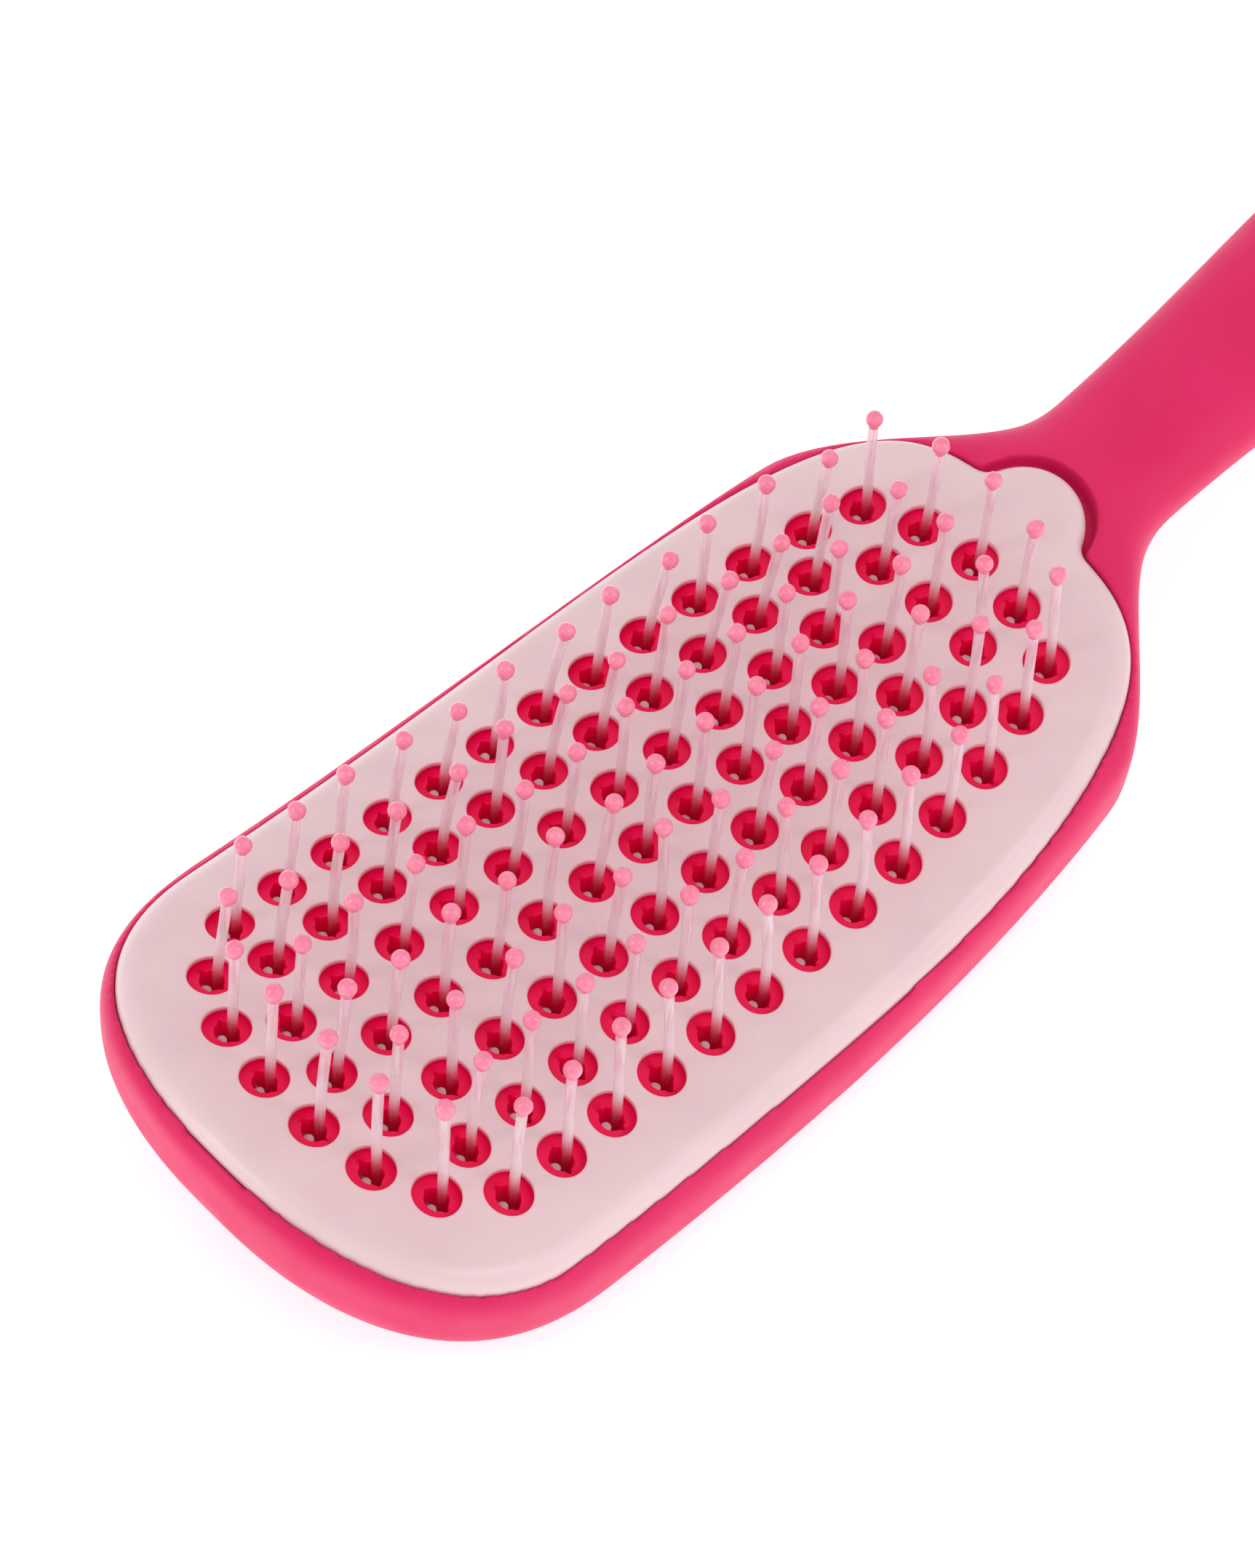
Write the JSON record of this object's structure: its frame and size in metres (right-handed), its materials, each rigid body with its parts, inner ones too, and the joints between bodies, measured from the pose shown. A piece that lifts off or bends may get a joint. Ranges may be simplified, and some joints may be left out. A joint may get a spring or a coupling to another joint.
{
  "type": "paddle hair brush",
  "caption": "Curved paddle hair brush with single ball-tipped nylon bristles in rows and a lift-off cleaning plate with a finger tab.",
  "frame": {"origin": "on the flat of the back, straight below the middle of the bristle field", "axes": "+X from the toe of the head to the end of the handle, +Z the way the bristles point, +Y across the head"},
  "size_m": [0.2378, 0.0618, 0.0357],
  "materials": {
    "soft_touch": "soft-touch matte",
    "bed": "moulded satin",
    "plate": "satin gloss",
    "nylon": "clear drawn nylon",
    "ball": "dipped gloss",
    "anchor_steel": "drawn wire"
  },
  "bodies": {
    "brush": {"body": "soft_touch", "bristle_bed": "bed", "back_cover": "soft_touch", "filaments_toe_arc": "nylon", "filaments_middle": "nylon", "filaments_left_inner": "nylon", "filaments_right_inner": "nylon", "filaments_left_second": "nylon", "filaments_right_second": "nylon", "filaments_left_outer": "nylon", "filaments_right_outer": "nylon", "filaments_heel_pair": "nylon", "ball_tips_toe_arc": "ball", "ball_tips_middle": "ball", "ball_tips_left_inner": "ball", "ball_tips_right_inner": "ball", "ball_tips_left_second": "ball", "ball_tips_right_second": "ball", "ball_tips_left_outer": "ball", "ball_tips_right_outer": "ball", "ball_tips_heel_pair": "ball", "anchors_toe_arc": "anchor_steel", "anchors_middle": "anchor_steel", "anchors_left_inner": "anchor_steel", "anchors_right_inner": "anchor_steel", "anchors_left_second": "anchor_steel", "anchors_right_second": "anchor_steel", "anchors_left_outer": "anchor_steel", "anchors_right_outer": "anchor_steel", "anchors_heel_pair": "anchor_steel"},
    "plate": {"cleaning_plate": "plate"}
  },
  "joints": [
    {"name": "plate_lift", "type": "slide", "parent": "brush", "child": "plate", "axis": [0, 0, 1], "range_m": [0, 0.045]}
  ]
}
